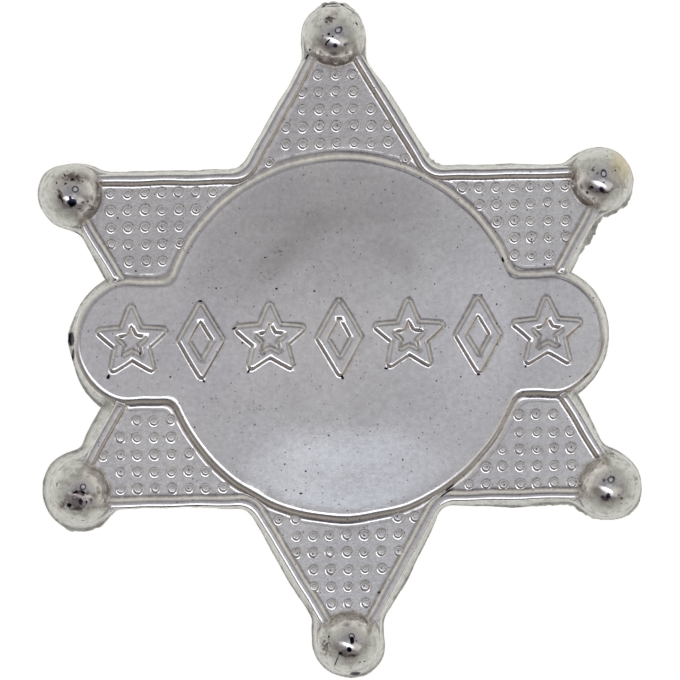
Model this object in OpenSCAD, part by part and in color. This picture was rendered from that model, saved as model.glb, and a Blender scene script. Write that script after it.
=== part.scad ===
// Ball-tipped six-point star badge, lying on its rim with its front up.
// Millimetres. X runs to the right of the badge, Y to its top point, Z out of its front.

/* [Star] */
// Distance from the middle of the badge to the middle of each ball tip
ball_ring_r = 33.8; // [32.8:0.1:35.5]
// Distance from the middle of the badge to the line of each arm side, at the rim
arm_side_d = 18.9; // [18.4:0.1:19.6]
// How far the arm sides lean in on their way up from the rim
side_draft = 0.25; // [0.1:0.05:0.45]
// Height of the pebbled arm faces above the rim
arm_h = 2.5; // [2.2:0.1:3.2]
// Thickness of the moulded wall
shell_wall = 1.2; // [0.9:0.05:1.4]

/* [Border ribs] */
// Radius of the half-round rib along each arm side
rib_r = 0.75; // [0.6:0.05:0.9]
// Distance from the arm side at the rim to the middle of its rib
rib_inset = 0.95; // [0.85:0.05:1.2]

/* [Ball tips] */
// Radius of each ball tip
ball_r = 3.7; // [3.3:0.1:4.2]
// Height of the middle of each ball above the rim
ball_z = 1.3; // [1:0.1:1.8]
// How far the skirt under each ball leans in
skirt_draft = 0.12; // [0.05:0.01:0.2]

/* [Disc and banner] */
// Radius of the raised disc, at its foot
disc_r = 20.8; // [19.8:0.1:21.2]
// Half of the width of the banner across the disc, at its foot
banner_half = 7.2; // [6.4:0.1:8]
// Distance from the middle of the badge to the middle of each round banner end
lobe_x = 22.4; // [21.4:0.1:23.4]
// How far the banner ends flare out on their way down to the rim
lobe_flare = 0.5; // [0.2:0.05:0.8]
// Height of the disc and banner above the arm faces
plateau_rise = 1.1; // [0.9:0.05:1.5]
// Width of the sloped edge round the disc and banner
edge_run = 1; // [0.6:0.05:1.2]
// Height of the disc's shallow crown above its edge
crown_rise = 0.4; // [0.2:0.05:0.7]

/* [Pebble dots] */
// Distance between neighbouring dots, both ways
dot_pitch = 1.9; // [1.7:0.05:2.4]
// Diameter of each dot
dot_d = 1; // [0.7:0.05:1.2]
// Height of each dot
dot_rise = 0.32; // [0.2:0.02:0.4]
// Least distance from a dot's middle to the foot of a rib, a ball or the raised middle
dot_keep = 0.3; // [0.2:0.05:0.8]

/* [Ornaments] */
// Distance between neighbouring ornaments on the banner
ornament_pitch = 7.7; // [7.6:0.1:7.9]
// Height of the ornaments above the banner's face
ornament_rise = 0.35; // [0.2:0.05:0.5]
// Radius to the five points of each star
star_r = 4.4; // [4:0.1:4.6]
// Radius to the five inner corners of each star
star_inner_r = 2; // [1.8:0.1:2.3]
// Half of the width of each lozenge
lozenge_x = 2.6; // [2.2:0.1:2.9]
// Half of the height of each lozenge
lozenge_y = 4.5; // [4:0.1:5]
// Radius to the corners of the sunk star in the middle of each star
sunk_star_r = 2.1; // [1.8:0.1:2.3]
// Half of the height of the sunk lozenge in the middle of each lozenge
sunk_lozenge_y = 2.1; // [1.7:0.1:2.4]

/* [Back pin] */
// Length of the bar behind the disc
bar_l = 27; // [22:0.5:32]
// Width of the bar
bar_w = 4.4; // [3.5:0.1:6]
// Thickness of the bar
bar_t = 0.6; // [0.5:0.05:0.7]
// Gap between the bar and the shell that carries it
seat_gap = 0.05; // [0.02:0.01:0.1]
// Diameter of the needle
needle_d = 0.8; // [0.6:0.05:0.85]
// Gap between the bar and the needle, for the cloth
needle_gap = 0.5; // [0.4:0.05:0.55]
// Distance between the middles of the two lugs that hold the needle
lug_span = 23; // [18:0.5:25]
// Length of each lug along the bar
lug_l = 1.8; // [1.4:0.1:2.4]
// Width of each lug across the bar
lug_w = 2.6; // [2:0.1:3.2]

/* [Hidden] */
$fn = 72;

POINTS = 6;
ORNAMENTS = 7;
// Overlap that joins two stacked shapes into one
WELD = 0.02;
// Extra depth with which a cutting shape clears a face
CLEAR = 1;
// Bands of the crown from its middle to its edge
CROWN_BANDS = 8;

plateau_z = arm_h + plateau_rise;
disc_face_r = disc_r - edge_run;
rib_axis_d = arm_side_d - rib_inset;
rib_foot_d = rib_axis_d - rib_r;
// Level width of the wall under the sloped edge, so that it is one wall thick across the slope
slope_wall = shell_wall * norm([edge_run, plateau_rise]) / plateau_rise;
// The crown is the top of a ball this large
crown_r = (disc_face_r * disc_face_r + crown_rise * crown_rise) / (2 * crown_rise);
grid_reach = ceil(2 * arm_side_d / dot_pitch);

dot_r = dot_d / 2;
dot_ball_r = (dot_r * dot_r + dot_rise * dot_rise) / (2 * dot_rise);

// Heights of the pin, from its seat down
bar_top = plateau_z - shell_wall - seat_gap;
bar_under = bar_top - bar_t;
needle_z = bar_under - needle_gap - needle_d / 2;

// Distance of the arm side lines from the middle at a height z, drawn in by an inset
function side_at(z, inset) = arm_side_d - side_draft * z / arm_h - inset;

// Height of the crown at a distance from the middle
function crown_at(r) = plateau_z + crown_rise - crown_r + sqrt(crown_r * crown_r - r * r);

// Reach of the sloped edge inside its foot at a height z
function edge_in(z) = edge_run * (z - arm_h) / plateau_rise;

// Angle of a ball tip
function tip_angle(i) = 90 + 360 / POINTS * i;

// Middle of a ball tip
function tip(i) = ball_ring_r * [cos(tip_angle(i)), sin(tip_angle(i))];

// Largest distance of a point past the three sides of one of the star's two triangles
function past_triangle(p, turn) =
    max([for (k = [0:2]) p * [cos(turn + 120 * k), sin(turn + 120 * k)]]) - rib_foot_d;

// Distance by which a point lies inside the ribs of the star
function inside_ribs(p) = -min(past_triangle(p, 30), past_triangle(p, 90));

// Distance of a point from the raised middle, disc or banner
function off_middle(p) = min(
    norm(p) - disc_r,
    norm([max(abs(p[0]) - lobe_x, 0), p[1]]) - banner_half
);

// Distance of a point from the nearest ball
function off_balls(p) = min([for (i = [0:POINTS - 1]) norm(p - tip(i))]) - ball_r;

// The whole grid of dots, with one column through the middle
function dot_grid() = [
    for (i = [-grid_reach:grid_reach], j = [-grid_reach:grid_reach]) dot_pitch * [i, j + 0.5]
];

// The dots that lie in the open arm faces
function dots() = [
    for (p = dot_grid())
        if (min(inside_ribs(p), off_middle(p), off_balls(p)) > dot_keep) p
];

// Corners of a five-point star, from its outer radius to its inner radius
function star_corners(outer_r, inner_r) = [
    for (k = [0:9])
        (k % 2 == 0 ? outer_r : inner_r) * [cos(90 + 36 * k), sin(90 + 36 * k)]
];

// Corners of a lozenge
function lozenge_corners(half_x, half_y) = [[half_x, 0], [0, half_y], [-half_x, 0], [0, -half_y]];

// Two crossed triangles, with sides that lean in
module star_block(inset, z0, z1) {
    for (turn = [90, 270])
        rotate(turn)
            translate([0, 0, z0])
                cylinder(h = z1 - z0, r1 = 2 * side_at(z0, inset), r2 = 2 * side_at(z1, inset), $fn = 3);
}

// The arms, ending inside the balls
module arms(inset, z0, z1) {
    intersection() {
        star_block(inset, z0, z1);
        translate([0, 0, z0 - CLEAR])
            cylinder(h = z1 - z0 + 2 * CLEAR, r = ball_ring_r);
    }
}

// One ball on its skirt, cut level at its foot
module ball(inset, z0) {
    r = ball_r - inset;
    intersection() {
        translate([0, 0, ball_z])
            sphere(r = r, $fn = 96);
        translate([0, 0, z0])
            cylinder(h = 2 * ball_r + CLEAR, r = 2 * ball_r);
    }
    translate([0, 0, z0])
        cylinder(h = ball_z - z0, r1 = r - skirt_draft * z0 / ball_z, r2 = r - skirt_draft);
}

module balls(inset, z0) {
    for (i = [0:POINTS - 1])
        translate(tip(i))
            ball(inset, z0);
}

// One long half-round rib on each side line, from ball to ball
module ribs() {
    reach = ball_ring_r * sin(60);
    for (k = [0:POINTS - 1])
        rotate(30 + 60 * k)
            translate([rib_axis_d, reach, arm_h])
                rotate([90, 0, 0])
                    cylinder(h = 2 * reach, r = rib_r, $fn = 32);
}

// Disc and banner with their sloped edge, set in by a level inset
module plateau(inset, z0, z1) {
    low = inset + edge_in(z0);
    high = inset + edge_in(z1);
    translate([0, 0, z0])
        cylinder(h = z1 - z0, r1 = disc_r - low, r2 = disc_r - high, $fn = 180);
    for (side = [-1, 1])
        translate([side * lobe_x, 0, z0])
            cylinder(h = z1 - z0, r1 = banner_half - low, r2 = banner_half - high);
    rotate([90, 0, 90])
        translate([0, 0, -lobe_x])
            linear_extrude(2 * lobe_x)
                polygon([
                    [low - banner_half, z0],
                    [banner_half - low, z0],
                    [banner_half - high, z1],
                    [high - banner_half, z1]
                ]);
}

// The flared skirt of each banner end, which stands past the arms
module lobe_skirts(inset, z0, z1) {
    for (side = [-1, 1])
        translate([side * lobe_x, 0, z0])
            cylinder(
                h = z1 - z0,
                r1 = banner_half + lobe_flare * (1 - z0 / arm_h) - inset,
                r2 = banner_half + lobe_flare * (1 - z1 / arm_h) - inset
            );
}

// The crowned disc, lifted by the height of what stands on it
module crown(lift) {
    rotate_extrude($fn = 180)
        polygon(concat(
            [[0, plateau_z - CLEAR], [disc_face_r, plateau_z - CLEAR]],
            [
                for (k = [CROWN_BANDS:-1:0])
                    let (r = disc_face_r * k / CROWN_BANDS)
                        [r, crown_at(r) + lift]
            ]
        ));
}

module pebble_dots() {
    for (p = dots())
        translate([p[0], p[1], arm_h + dot_rise - dot_ball_r])
            sphere(r = dot_ball_r, $fn = 16);
}

// One ornament as a flat outline, a star at even places and a lozenge at odd ones
module ornament(k) {
    if (k % 2 == 0)
        difference() {
            polygon(star_corners(star_r, star_inner_r));
            polygon(star_corners(sunk_star_r, sunk_star_r * star_inner_r / star_r));
        }
    else
        difference() {
            polygon(lozenge_corners(lozenge_x, lozenge_y));
            polygon(lozenge_corners(sunk_lozenge_y * lozenge_x / lozenge_y, sunk_lozenge_y));
        }
}

// The row of ornaments, whose tops follow the crown and the banner
module ornaments() {
    intersection() {
        for (k = [0:ORNAMENTS - 1])
            translate([ornament_pitch * (k - (ORNAMENTS - 1) / 2), 0, plateau_z - WELD])
                linear_extrude(crown_rise + 2 * ornament_rise)
                    ornament(k);
        union() {
            crown(ornament_rise);
            translate([-2 * lobe_x, -banner_half, plateau_z - CLEAR])
                cube([4 * lobe_x, 2 * banner_half, CLEAR + ornament_rise]);
        }
    }
}

// The hollow back, one wall inside the front
module hollow() {
    arms(shell_wall, -CLEAR, arm_h - shell_wall);
    balls(shell_wall, -CLEAR);
    lobe_skirts(shell_wall, -CLEAR, arm_h - shell_wall);
    plateau(slope_wall, arm_h - shell_wall - WELD, plateau_z - shell_wall);
}

module star_shell() {
    color("silver")
        difference() {
            union() {
                arms(0, 0, arm_h);
                balls(0, 0);
                lobe_skirts(0, 0, arm_h);
                plateau(0, arm_h - WELD, plateau_z);
                ribs();
                crown(0);
                ornaments();
                pebble_dots();
            }
            hollow();
        }
}

// One lug between the bar and the needle
module lug(x) {
    bottom = needle_z - needle_d / 2;
    translate([x - lug_l / 2, -lug_w / 2, bottom])
        cube([lug_l, lug_w, bar_under + bar_t / 2 - bottom]);
}

module bar_pin() {
    color("lightgray") {
        translate([-bar_l / 2 + bar_w / 2, -bar_w / 2, bar_under])
            cube([bar_l - bar_w, bar_w, bar_t]);
        for (side = [-1, 1]) {
            translate([side * (bar_l - bar_w) / 2, 0, bar_under])
                cylinder(h = bar_t, r = bar_w / 2);
            lug(side * lug_span / 2);
        }
        translate([-lug_span / 2, 0, needle_z])
            rotate([0, 90, 0])
                cylinder(h = lug_span, r = needle_d / 2, $fn = 32);
    }
}

star_shell();
bar_pin();
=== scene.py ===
"""Looks of the ball-tipped star badge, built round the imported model.

The badge is one plated moulding that lies face up. The front of its skin is worked out as a height
above the rim for each point of its plan, in millimetres, and becomes a mesh in the frame's metres.
"""
import math

import bpy
import numpy as np
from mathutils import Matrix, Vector
from mathutils.geometry import delaunay_2d_cdt


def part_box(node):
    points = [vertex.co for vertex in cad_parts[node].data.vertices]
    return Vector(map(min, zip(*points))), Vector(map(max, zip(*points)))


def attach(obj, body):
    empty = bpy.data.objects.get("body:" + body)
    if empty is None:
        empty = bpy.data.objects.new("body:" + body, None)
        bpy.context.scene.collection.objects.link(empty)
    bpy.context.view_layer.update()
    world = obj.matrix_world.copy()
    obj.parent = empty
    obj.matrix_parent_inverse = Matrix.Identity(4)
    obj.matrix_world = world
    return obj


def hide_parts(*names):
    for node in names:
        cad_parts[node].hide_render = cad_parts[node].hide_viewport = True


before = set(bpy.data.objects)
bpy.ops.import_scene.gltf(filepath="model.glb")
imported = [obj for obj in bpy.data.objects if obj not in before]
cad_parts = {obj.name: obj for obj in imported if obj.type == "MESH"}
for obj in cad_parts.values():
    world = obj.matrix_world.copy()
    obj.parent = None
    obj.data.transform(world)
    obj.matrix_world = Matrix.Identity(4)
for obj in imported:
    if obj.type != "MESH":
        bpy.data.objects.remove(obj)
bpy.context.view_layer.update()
_, shell_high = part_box("star_shell")

# Millimetres in the frame's metres
MM = 0.001

# How far the lines of the moulding wander, and over what length
WANDER = 0.05
WANDER_WAVE = 5

# Ball tips, in millimetres, from the top point round by the left. Each stands a little off its
# place in a regular star
BALL_R = 3.7
BALL_Z = shell_high.z / MM - BALL_R
TIPS = [
    (0.16, 33.46), (-29.35, 16.48), (-29.15, -16.58),
    (0.33, -33.75), (29.46, -17.09), (29.34, 16.92),
]
# Plan radius at which a ball's side turns into the flank under it
TIP_SHOULDER = 3.45
BALL_FILLET = 0.12
# Share by which a ball is narrower where it stands in the field of its arm
FIELD_SIDE = 0.08
# Share of a ball's radius past which its side runs straight down
BALL_STRAIGHT = 0.89

# Arms: height of the pebbled field, and the six lines where a rib's outside turns down into the
# flank, as compass point and distance from the middle, for the two crossed triangles
ARM_H = 2.5
SIDES = [
    [(30.15, 18.55), (150.07, 18.32), (270, 18.5)],
    [(89.85, 18.58), (210, 18.27), (330.44, 18.65)],
]
NOTCH_FILLET = 1.5
TIP_FILLET = 1.6
LOBE_FILLET = 0.8
# How far from the middle the arms end, inside the balls
ARM_END = TIPS[0][1] + 0.5
# Rib along each side: how far its crest lies inside the shoulder, its height and its inner slope
RIB_CREST = 0.45
RIB_H = 0.38
RIB_INNER = 1.15
RIB_PEAK = 2.3
# Fall of a rib's outside, first as a round and then as it turns down into the flank
RIB_ROUND = 0.085
RIB_TURN = 0.14

# Disc and banner, which stand a little higher above the field than the ribs do
DISC_R = 20.85
DISC_X = 0.35
BANNER_HALF = 7.35
LOBE_X = 22.4
LOBE_SHOULDER = 7.1
JUNCTION_FILLET = 1.1
PLATEAU_RISE = 0.45
CROWN_RISE = 0.38
EDGE_RUN = 1.35
EDGE_PEAK = 2.0
# The banner flares towards its round ends: how far, from how early and over what run
LOBE_FLARE = 0.35
FLARE_EARLY = 0.5
FLARE_RUN = 3
# Shallow groove round the foot of both
GROOVE = 0.013
GROOVE_HALF = 0.3

# Row of plain ornaments on the banner, stars and lozenges in turn
ORNAMENT_PITCH = 7.7
ORNAMENT_COUNT = 7
ORNAMENT_RISE = 0.22
ORNAMENT_SLOPE = 0.75
STAR_RADII = (4.4, 2.0)
SUNK_STAR_R = 1.6
LOZENGE = (2.6, 4.5)
SUNK_LOZENGE_Y = 2.0
SUNK_EDGE = 0.12
CORNER_R = 0.35

# Pebble dots of the field, and how far each arm's own set of them stands off the common grid
DOT_PITCH = 1.9
DOT_RISE = 0.13
DOT_R = 0.73
DOT_VARIATION = 0.08
DOT_WANDER = 0.05
# Form of a dot, as steps inwards from its rim: where each starts and ends, as a share of the radius,
# and its rise. The last is a small point in the middle
DOT_STEPS = [(0.73, 0.42, 0.75), (1.0, 0.55, 0.25), (0.36, 0.0, 0.05)]
DOT_SIDES = 14
DOT_RINGS = 11
ARM_SHIFT = [(0.16, -0.22), (-0.46, 0.41), (0.03, -0.22), (0.38, -0.1), (0.76, -0.47), (0.66, 0.22)]
# Least distance from a dot's middle to the foot of a rib, to the raised middle and to a ball
DOT_KEEP = -0.2
# The same dots where a ball's side runs over them, and the ring of the ball in which they show
SUNK_DOT_RISE = 0.16
SUNK_DOT_R = 0.75
SUNK_FROM = 1.7
SUNK_TO = 3.4

# Moulded wall and hollow back
WALL = 1.2
CEILING_ARM = ARM_H - WALL
CEILING_MIDDLE = 2.4
CEILING_RUN = 1.2
CEILING_FILLET = 0.3

# Flank between the shoulder and the rim: how far its foot stands out, at compass points round the
# badge. It differs from side to side
FLANK_REACH = [
    (0, 0.55), (17, 0.62), (25, 0.3), (33, 0.2), (43, 0.5), (60, 0.45), (76, 0.5), (79, 0.5),
    (82, 0.15), (94, 0.2), (103, 0.35), (120, 0.45), (137, 0.45), (146, 0.35), (154, 0.3),
    (163, 0.85), (174, 0.65), (179, 0.85), (184, 0.6), (193, 1.3), (200, 1.35), (206, 1.0),
    (212, 0.5), (216, 0.1), (226, 0.07), (240, 0.35), (257, 0.7), (265, 0.55), (270, 0.7),
    (276, 0.5), (283, 0.9), (300, 0.35), (317, 0.87), (326, 0.3), (334, 0.28), (343, 0.9),
]
# Height of its rows of points, as shares of the shoulder's, and how far it bows in
FLANK_LEVELS = (0.85, 0.7, 0.55, 0.4, 0.25)
FLANK_BOW = 1.2
# Its reach round each ball, at the compass points of the ball itself
BALL_REACH = [
    [(10, 0.0), (40, 0.15), (70, 0.45), (100, 0.5), (130, 0.5), (170, 0.25), (200, 0.3), (340, 0.1)],
    [(60, 0.35), (90, 0.1), (110, 0.2), (130, 0.6), (150, 0.75), (180, 0.65), (230, 0.4), (260, 0.4)],
    [(100, 1.2), (140, 1.2), (170, 1.0), (200, 0.85), (240, 0.9), (280, 0.9), (310, 0.65), (330, 0.6)],
    [(10, 0.45), (150, 1.1), (170, 0.6), (210, 0.7), (250, 0.65), (290, 0.85), (330, 0.95), (350, 0.65)],
    [(0, 0.45), (30, 0.4), (60, 0.55), (220, 0.5), (250, 0.35), (270, 0.4), (310, 0.65), (340, 0.6)],
    [(0, 0.4), (50, 0.3), (90, 0.35), (110, 0.4), (140, 0.5), (280, 0.3), (310, 0.3), (340, 0.45)],
]
# Flakes of mould flash, as compass point, half width along the edge in millimetres, and reach
FLASH = [
    (90, 1.5, 0.3), (86.5, 0.9, 0.15), (23.5, 1.3, 0.45), (21, 0.9, 0.4), (62, 1.6, 0.25),
    (178.5, 1.2, 0.15), (214, 1.0, 0.3), (322, 1.3, 0.35), (329, 1.0, 0.2), (272, 1.2, 0.15),
]
FLASH_Z = 0.3

# Half width and half height of the plan that points are laid out over, and their spacing: round the
# shoulder, over the open front, across its edges, over the spots and in the hollow back
REACH = (33, 38)
LOOP_STEP = 0.26
OPEN_PITCH = 0.4
EDGE_STEP = 0.07
SPOT_PITCH = 0.07
BACK_PITCH = 0.8
# Edges sharper than this, in degrees, stay sharp
SHARP_EDGE = 50

# Spots where the skin is gone, in millimetres: place, half size, turn and how dark
SPOTS = [
    ((-0.51, 33.63), (0.17, 0.15), 0, 1.0), ((-1.17, 33.46), (0.12, 0.12), 0, 0.8),
    ((-0.06, 33.35), (0.13, 0.11), 0, 0.9), ((-0.62, 32.83), (0.52, 0.11), 42, 1.0),
    ((-0.85, 32.45), (0.2, 0.14), 80, 0.7), ((-0.7, 35.0), (0.35, 0.16), -15, 0.6),
    ((-2.65, 32.07), (0.13, 0.14), 0, 1.0), ((-3.0, 31.3), (0.42, 0.12), 58, 1.0),
    ((0.04, 37.3), (1.1, 0.09), 0, 1.0), ((0.04, 36.87), (1.1, 0.07), 0, 0.9),
    ((-0.97, 37.0), (0.3, 0.14), 35, 1.0), ((1.14, 37.08), (0.3, 0.12), -30, 1.0),
    ((2.13, 36.3), (1.05, 0.09), -33, 0.9), ((2.6, 34.8), (0.3, 0.1), -55, 0.8),
    ((-0.5, 35.5), (0.25, 0.1), 20, 0.6), ((-0.95, 34.6), (0.2, 0.1), 0, 0.5),
    ((-30.14, 18.73), (0.12, 0.25), 20, 0.8), ((-29.2, 18.15), (0.25, 0.15), -30, 0.8),
    ((-28.76, 18.5), (0.1, 0.15), 0, 0.7), ((-28.1, 17.86), (0.12, 0.1), 0, 0.7),
    ((-31.0, 17.83), (0.12, 0.2), 0, 0.7), ((-30.64, 16.87), (0.15, 0.1), 0, 0.7),
    ((-27.6, 15.7), (0.15, 0.12), 0, 0.7), ((-28.56, 14.9), (0.25, 0.1), 0, 0.6),
    ((-32.4, 17.7), (0.06, 0.3), 0, 0.5), ((-31.7, 15.05), (0.15, 0.12), 0, 0.5),
    ((-30.25, 12.9), (0.2, 0.07), 0, 0.6),
    ((-28.4, -17.6), (0.12, 0.25), 0, 0.8), ((-30.8, -17.6), (0.2, 0.15), 0, 0.6),
    ((-31.3, -18.1), (0.25, 0.1), 0, 0.5), ((-31.7, -15.6), (0.07, 0.35), -10, 0.8),
    ((-32.5, -15.6), (0.06, 0.2), 0, 0.6), ((-30.3, -15.6), (0.15, 0.07), 0, 0.5),
    ((-28.9, -19.7), (0.3, 0.07), 0, 0.6), ((-30.1, -19.4), (0.2, 0.07), 30, 0.5),
    ((30.1, 19.5), (0.2, 0.1), 0, 0.5), ((27.75, 15.5), (0.2, 0.3), 0, 0.6),
    ((30.55, 15.8), (0.25, 0.1), 20, 0.6), ((28.55, 18.3), (0.2, 0.1), 30, 0.5),
    ((31.3, 16.0), (0.12, 0.12), 0, 0.5),
    ((-29.3, 15.62), (0.62, 0.5), 0, 0.95), ((-29.5, 16.1), (0.25, 0.25), 0, 0.7),
    ((-30.5, 16.0), (0.75, 0.13), -65, 0.7), ((-30.0, 17.7), (0.2, 0.12), 30, 0.8),
    ((-29.6, -16.5), (0.32, 0.17), 25, 1.0), ((-28.75, -16.5), (0.34, 0.18), -30, 1.0),
    ((-30.35, -17.9), (0.4, 0.33), 0, 0.7), ((0.66, -33.5), (0.28, 0.5), 0, 0.95),
    ((0.33, -34.5), (0.3, 0.32), 0, 0.95), ((-0.67, -34.95), (0.42, 0.3), 0, 0.6),
    ((-1.1, -35.8), (0.95, 0.07), 68, 0.85), ((0.95, -37.45), (0.6, 0.3), 0, 1.0),
    ((28.9, 17.6), (0.12, 0.3), -40, 0.6), ((30.9, 17.9), (0.14, 0.14), 0, 0.7),
    ((28.3, 16.1), (0.3, 0.14), -55, 0.8), ((18.3, 8.3), (0.16, 0.35), 20, 0.9),
    ((11.9, -16.9), (0.8, 0.12), 35, 0.8), ((27.4, -4.75), (1.2, 0.08), 37, 0.7),
    ((-29.95, 0.5), (0.5, 0.85), 0, 0.95), ((-29.75, -1.2), (0.25, 0.9), -8, 0.8),
    ((-6.9, 5.6), (0.15, 0.13), 0, 1.0), ((-8.1, 9.1), (0.17, 0.08), 0, 0.9),
    ((-11.3, 11.9), (0.12, 0.12), 0, 0.7), ((-3.5, 7.6), (0.12, 0.1), 0, 0.7),
    ((-9.2, 10.8), (0.11, 0.1), 0, 0.6), ((-4.3, 15.1), (0.4, 0.08), -10, 0.4),
    ((-13.6, 5.8), (0.12, 0.14), 0, 0.8), ((-6.4, -13.9), (0.13, 0.11), 0, 0.9),
    ((-4.7, -17.2), (0.16, 0.14), 0, 0.9), ((-6.3, -16.8), (0.11, 0.11), 0, 0.7),
    ((6.9, -11.1), (0.11, 0.1), 0, 0.6), ((-25.8, -3.8), (0.2, 0.35), -25, 0.9),
    ((-15.4, 4.4), (0.3, 0.14), 0, 0.9), ((-15.2, -4.5), (0.16, 0.3), 40, 0.7),
    ((-11.7, 1.3), (0.4, 0.13), 20, 0.8), ((-10.2, -3.5), (0.14, 0.3), -30, 0.9),
    ((0.2, -4.4), (0.2, 0.3), 20, 0.8), ((5.1, -3.5), (0.28, 0.14), 0, 0.9),
    ((15.3, -4.4), (0.3, 0.13), 0, 0.8), ((20.6, -3.6), (0.15, 0.3), -20, 0.7),
    ((8.9, 0.9), (0.12, 0.4), -40, 0.6), ((-22.2, -1.3), (0.14, 0.25), 10, 0.7),
    ((-1.9, -33.1), (0.13, 0.14), 0, 0.9), ((1.5, -36.0), (0.16, 0.1), 0, 0.8),
    ((2.0, -35.95), (0.14, 0.1), 0, 0.8), ((3.8, -28.4), (0.22, 0.12), 20, 0.9),
    ((-18.7, -18.33), (7.0, 0.06), 0, 0.7), ((-17.0, 18.1), (2.0, 0.06), 0, 0.5),
    ((11.6, -17.4), (1.6, 0.12), 33, 0.7), ((-22.5, 7.9), (0.2, 0.15), 0, 0.6),
]

# Brown patches where the skin has gone dull: place, half size, turn and how brown
PATCHES = [
    ((-0.4, 35.3), (0.9, 0.6), 0, 0.7), ((-29.2, 18.4), (1.5, 0.6), -15, 0.9),
    ((-30.6, 16.4), (0.4, 1.2), 25, 0.8), ((-27.3, 15.0), (0.8, 0.6), 0, 0.6),
    ((-29.1, -16.8), (1.0, 0.75), 0, 1.0), ((-29.4, -18.3), (1.2, 0.4), 0, 0.8),
    ((-31.0, -17.7), (0.6, 0.8), 0, 0.6), ((29.4, 15.5), (1.4, 0.35), -5, 0.7),
    ((28.0, 16.1), (0.4, 0.35), 0, 0.8), ((28.4, 18.0), (0.45, 0.3), 30, 0.7),
    ((29.0, -18.4), (0.8, 0.35), -10, 0.8), ((30.8, -18.45), (0.3, 0.2), 0, 0.9),
    ((29.0, -16.4), (0.5, 0.4), 0, 0.6), ((32.6, -16.5), (0.25, 0.9), 0, 0.5),
    ((29.9, -13.4), (0.9, 0.5), -40, 0.6), ((-2.3, -34.2), (0.7, 1.2), 0, 0.7),
    ((0.4, -35.2), (1.2, 0.35), 0, 0.7), ((-4.0, -30.2), (0.45, 1.5), 25, 0.6),
    ((2.2, 36.0), (0.8, 0.3), -35, 0.5), ((-29.9, 0.0), (0.5, 1.6), 0, 0.6),
    ((-6.5, 10.0), (1.6, 0.9), 40, 0.35), ((-3.5, 13.8), (2.2, 0.6), -5, 0.3),
    ((-7.5, 7.0), (1.5, 0.8), 20, 0.35), ((-14.2, -6.6), (0.9, 0.8), 0, 0.35),
    ((-9.8, -7.4), (0.8, 1.0), 0, 0.4), ((-10.9, -10.7), (0.8, 1.0), 0, 0.35),
]

# Broad stains: place, half size, turn, colour and strength
STAINS = [
    ((-6.0, 9.5), (4.5, 1.6), 38, "#A79F9B", 0.3), ((-1.0, 13.5), (6.0, 1.6), 5, "#B0A9A6", 0.25),
    ((6.5, 9.0), (3.0, 1.3), -30, "#B4AEAC", 0.25), ((31.8, 18.6), (1.2, 1.6), 0, "#C9BA90", 0.55),
    ((-29.2, 18.3), (1.9, 0.8), 10, "#8F847C", 0.4),
]

# Ragged edges of the patches and spots: name of the number kept for each point, how deep the noise
# cuts in, its lift, softness of the edge, and colour
RAGGED = [("patch", -2.4, 0.95, 0.7, "#776C6A"), ("bare", -0.9, 0.2, 0.35, "#1D1B26")]

# Noises of the skin: name, wavelength in millimetres, detail and roughness
NOISES = [
    ("cloud", 7, 2, 0.5), ("mottle", 0.6, 4, 0.8), ("streak", 1.2, 4, 0.7),
    ("ragged", 0.35, 2, 0.5), ("peel", 0.9, 1, 0.5), ("fine", 0.22, 3, 0.5),
]

# Plan functions, all in millimetres, on arrays of x and y

def soft_max(a, b, width):
    """The larger of two values, with their crossing rounded over a width."""
    gap = np.maximum(width - np.abs(a - b), 0)
    return np.maximum(a, b) + gap * gap / (4 * width)


def smooth(t):
    """Rises from 0 to 1 without a corner."""
    t = np.clip(t, 0, 1)
    return t * t * (3 - 2 * t)


def swell(t, peak):
    """Rises from 0 to 1, nearly level at both ends; a higher peak keeps the rise nearer the middle."""
    return 0.5 + 0.5 * np.tanh(peak * np.clip(2 * t - 1, -1, 1)) / math.tanh(peak)


def dome(r, radius):
    """A low dome of height 1 with a flat top, whose foot runs out level."""
    return (1 - np.minimum(r / radius, 1) ** 4) ** 2.5


def ripple(x, y, wave, seed):
    """Wanders smoothly between about -1 and 1, with a given wavelength."""
    rng = np.random.default_rng(seed)
    total = 0
    for _ in range(8):
        angle = rng.uniform(0, math.tau)
        rate = math.tau / (wave * rng.uniform(0.7, 1.4))
        total = total + np.sin(rate * (x * math.cos(angle) + y * math.sin(angle)) + rng.uniform(0, 9))
    return total / 4


def wander(x, y):
    """The plan with lines that wander a little."""
    return x + WANDER * ripple(x, y, WANDER_WAVE, 1), y + WANDER * ripple(x, y, WANDER_WAVE, 2)


def inside_star(x, y):
    """Distance inside the shoulder of the arms, which are two crossed triangles with round notches."""
    triangles = []
    for sides in SIDES:
        triangles.append(np.minimum.reduce([
            away - x * math.cos(math.radians(a)) - y * math.sin(math.radians(a)) for a, away in sides
        ]))
    return soft_max(triangles[0], triangles[1], NOTCH_FILLET)


def from_tips(x, y):
    """Distance from the middle of the nearest ball."""
    return np.minimum.reduce([np.hypot(x - tx, y - ty) for tx, ty in TIPS])


def from_banner_line(x, y):
    """Distance from the line down the middle of the banner."""
    return np.hypot(np.maximum(np.abs(x) - LOBE_X, 0), y)


def inside_shoulder(x, y):
    """Distance inside the line where the front turns down into the flanks."""
    x, y = wander(x, y)
    star = np.minimum(inside_star(x, y), ARM_END - np.hypot(x, y))
    tipped = soft_max(star, TIP_SHOULDER - from_tips(x, y), TIP_FILLET)
    return soft_max(tipped, LOBE_SHOULDER - from_banner_line(x, y), LOBE_FILLET)


def inside_plateau(x, y):
    """Distance inside the foot of the disc and banner."""
    flare = LOBE_FLARE * smooth((np.abs(x) - LOBE_X + FLARE_EARLY) / FLARE_RUN)
    banner = BANNER_HALF + flare - from_banner_line(x, y)
    return soft_max(DISC_R - np.hypot(x - DISC_X, y), banner, JUNCTION_FILLET)


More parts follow.
